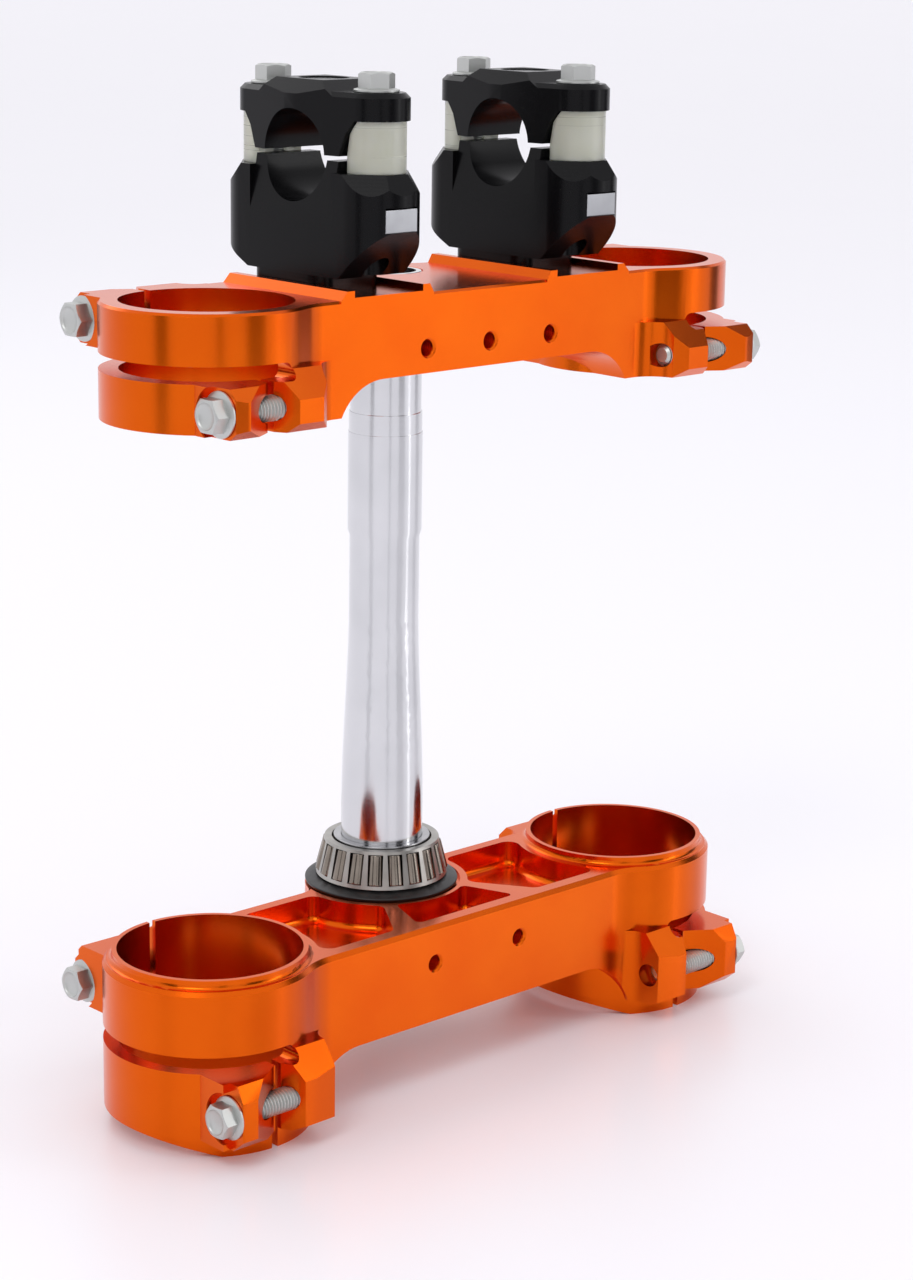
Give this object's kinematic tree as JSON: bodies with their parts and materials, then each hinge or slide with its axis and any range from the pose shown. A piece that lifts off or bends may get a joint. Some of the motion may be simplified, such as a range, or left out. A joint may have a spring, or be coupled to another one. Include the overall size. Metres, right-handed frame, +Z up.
{
  "type": "motorcycle triple clamp",
  "caption": "Orange machined pair of fork clamps joined by a hollow steering stem, with a taper bearing below and damped handlebar clamps on top.",
  "frame": {"origin": "midway between the two fork legs, level with the lower end faces of the lower rings", "axes": "+X from the left ring to the right ring, +Y to the rear, towards the steering stem, +Z up along the fork legs"},
  "size_m": [0.2552, 0.0921, 0.3343],
  "materials": {
    "orange_anodised": "glossy orange anodised, machined",
    "black_anodised": "satin black anodised",
    "polished_aluminium": "fine turned and polished",
    "bearing_steel": "ground",
    "cage_steel": "pressed sheet",
    "roller_steel": "ground, oiled",
    "seal_rubber": "moulded black",
    "zinc_flake_steel": "matt zinc flake",
    "clear_urethane": "translucent, milky",
    "nut_aluminium": "milled",
    "screw_steel": "zinc plated"
  },
  "bodies": {
    "clamp_frame": {"lower_clamp": "orange_anodised", "upper_clamp": "orange_anodised", "steering_stem": "polished_aluminium", "bearing_cone": "bearing_steel", "bearing_seal": "seal_rubber", "lower_pinch_bolts": "zinc_flake_steel", "upper_pinch_bolts": "zinc_flake_steel", "bar_clamp_bolts": "zinc_flake_steel", "bar_mount_base_left": "black_anodised", "bar_mount_base_right": "black_anodised", "bar_cap_left": "black_anodised", "bar_cap_right": "black_anodised", "elastomer_left_front": "clear_urethane", "elastomer_left_rear": "clear_urethane", "elastomer_right_front": "clear_urethane", "elastomer_right_rear": "clear_urethane", "bar_clamp_nuts": "nut_aluminium", "bar_mount_screws": "screw_steel", "bar_mount_washers": "screw_steel"},
    "roller_cage": {"bearing_cage": "cage_steel", "bearing_rollers": "roller_steel"}
  },
  "joints": [
    {"name": "cage_spin", "type": "hinge", "parent": "clamp_frame", "child": "roller_cage", "pos_m": [0, 0.022, 0.0643], "axis": [0, 0, 1], "continuous": true}
  ]
}
